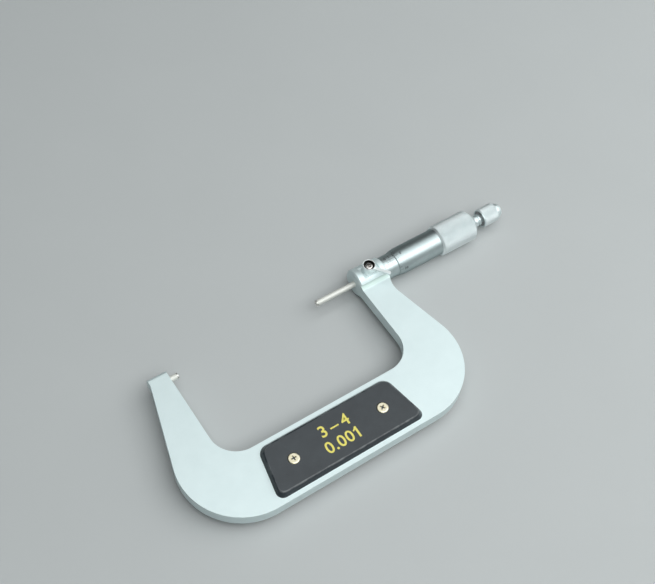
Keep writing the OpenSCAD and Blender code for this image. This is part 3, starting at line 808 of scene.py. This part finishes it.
def ratchetKnob(look):
    under = look["out"] - look["tooth"] - look["sunk"]
    piece = turnOnAxis("ratchetKnob", [
        (look["start"], look["hollow"]), (look["start"], under), (look["end"] - look["taper"], under),
        (look["end"], look["out"] - look["drop"]), (look["end"], look["head"]),
        (look["headSeat"], look["head"]), (look["headSeat"], look["hole"]),
        (look["hollowEnd"], look["hole"]), (look["hollowEnd"], look["hollow"])], look["steps"])
    breakEdges(piece, look["edge"], look["edgeAngle"])
    smooth(piece)
    return piece


place(ratchetKnob(knobLook), "ratchet", knurlChrome, ["ratchet_knob"])
knobGrip = knurl("ratchetKnurl", knobLook["start"] + knobLook["gripStart"],
                 knobLook["end"] - knobLook["taper"], knobLook["out"] - knobLook["tooth"],
                 knobLook["out"], knobLook["around"])
place(knobGrip, "ratchet", gripChrome)

# its stem, and the end screw with a slot
stemLook = {"edge": 0.12}
endScrewLook = {"edge": 0.15, "end": 201.45, "slot": 0.65, "deep": 0.5, "long": 9.84, "turn": 35}
stem = cadCopy("ratchet_stem", "ratchetStem", stemLook["edge"])
place(stem, "thimble", knurlChrome, ["ratchet_stem"])
endScrew = cadCopy("ratchet_screw", "ratchetEndScrew", endScrewLook["edge"])
slotCutter = box(2 * endScrewLook["deep"], endScrewLook["long"], endScrewLook["slot"])
slotCutter.rotation_euler = (math.radians(endScrewLook["turn"]), 0, 0)
slotCutter.location = (endScrewLook["end"] * mm, 0, 0)
settle(slotCutter)
cutAway(endScrew, slotCutter)
smooth(endScrew)
place(endScrew, "thimble", brightSteel, ["ratchet_screw"])
print("ratchet done")

# rods with their hard tips
rodLook = {"edge": 0.1}
for node, name, body, slot, material in (
        ("anvil", "anvilRod", "body", "tool_steel", groundSteel),
        ("anvil_tip", "anvilTip", "body", "carbide", carbide),
        ("spindle", "spindleRod", "thimble", "tool_steel", groundSteel),
        ("spindle_tip", "spindleTip", "carriage", "carbide", carbide)):
    place(cadCopy(node, name, rodLook["edge"]), body, material, [node])

# inner pieces keep the CAD's shape and get their finish
innerFinish = {"lock_pad": padBrass, "inner_barrel": turnedSteel, "adjusting_nut": turnedSteel,
               "ratchet_drive_disc": turnedSteel, "ratchet_slip_disc": turnedSteel,
               "ratchet_spring": turnedSteel}
for node, material in innerFinish.items():
    frame["nodes"][node].data.materials.clear()
    frame["nodes"][node].data.materials.append(material)
print("rods and inner pieces done")

# pale floor, which throws less light back on the object than it shows
floorLook = {"height": -8.62, "middle": (60, -20), "size": 40000, "bounce": (0.16, 0.165, 0.165)}
clearTable()
bpy.ops.mesh.primitive_plane_add(size=floorLook["size"] * mm,
                                 location=Vector((*floorLook["middle"], floorLook["height"])) * mm)
floor = nameIt(bpy.context.object, "paleFloor")
settle(floor)
floorPaint = grain(newMaterial("floorPaint"), mottle=60,
                   tones=[(0.485, 0.50, 0.50), (0.495, 0.51, 0.51)], rough=(0.6, 0.75),
                   bumpGrain=2, bumpHeight=0.01)
floorTree = floorPaint.node_tree
ray = addNode(floorTree, "ShaderNodeLightPath").outputs
direct = reckon(floorTree, "MAXIMUM", ray["Is Camera Ray"], ray["Is Glossy Ray"])
shown = reckon(floorTree, "MAXIMUM", direct, ray["Is Transmission Ray"])
giveWay(floorPaint, "Base Color", reckon(floorTree, "SUBTRACT", 1, shown), floorLook["bounce"])
floor.data.materials.append(floorPaint)

# soft room: bright overhead and on the near side, dim towards the horizon and the back
roomLook = {"tint": (0.90, 0.98, 1.0), "lean": (0, -0.64, 0.77), "dim": 0.04, "bright": 0.36}
world = bpy.data.worlds.new("softRoom")
bpy.context.scene.world = world
world.use_nodes = True
room = world.node_tree
direction = addNode(room, "ShaderNodeTexCoord")
facing = addNode(room, "ShaderNodeVectorMath", operation="DOT_PRODUCT")
facing.inputs[1].default_value = roomLook["lean"]
room.links.new(direction.outputs["Generated"], facing.inputs[0])
strength = spread(room, facing.outputs["Value"], start=0.0, end=1.0, low=roomLook["dim"],
                  high=roomLook["bright"])
room.links.new(strength, room.nodes["Background"].inputs["Strength"])
room.nodes["Background"].inputs["Color"].default_value = (*roomLook["tint"], 1)

# a wide weak panel overhead, a stronger one on the near side and a weak one behind the ratchet
panelTint = (0.97, 1.0, 1.0)
panelLook = {  # in metres, degrees and watts
    "ceilingPanel": {"at": (0.60, -0.43, 1.25), "turn": 0, "wide": 2.4, "deep": 2.06, "power": 16.3},
    "nearPanel": {"at": (0.60, -0.78, 1.20), "turn": 0, "wide": 2.0, "deep": 1.12, "power": 10.2},
    "sidePanel": {"at": (1.20, -0.20, 0.55), "turn": 65, "wide": 0.8, "deep": 1.2, "power": 3.0}}
for name, look in panelLook.items():
    bpy.ops.object.light_add(type="AREA", location=look["at"],
                             rotation=(0, math.radians(look["turn"]), 0))
    panel = bpy.context.object
    panel.name = name
    panel.data.shape = "RECTANGLE"
    panel.data.size = look["wide"]
    panel.data.size_y = look["deep"]
    panel.data.energy = look["power"]
    panel.data.color = panelTint

# camera at the photo's viewing angle
cameraLook = {"at": (-114.703, -253.569, 488.068), "turn": (33.79, -3.4547, -33.4949), "lens": 62.006,
              "sensor": 36, "nearest": 10}
bpy.ops.object.camera_add(location=Vector(cameraLook["at"]) * mm,
                          rotation=[math.radians(angle) for angle in cameraLook["turn"]])
camera = bpy.context.object
camera.data.sensor_fit = "HORIZONTAL"
camera.data.sensor_width = cameraLook["sensor"]
camera.data.lens = cameraLook["lens"]
camera.data.clip_start = cameraLook["nearest"] * mm
bpy.context.scene.camera = camera
bpy.context.scene.view_settings.view_transform = "Standard"
print("stage done")
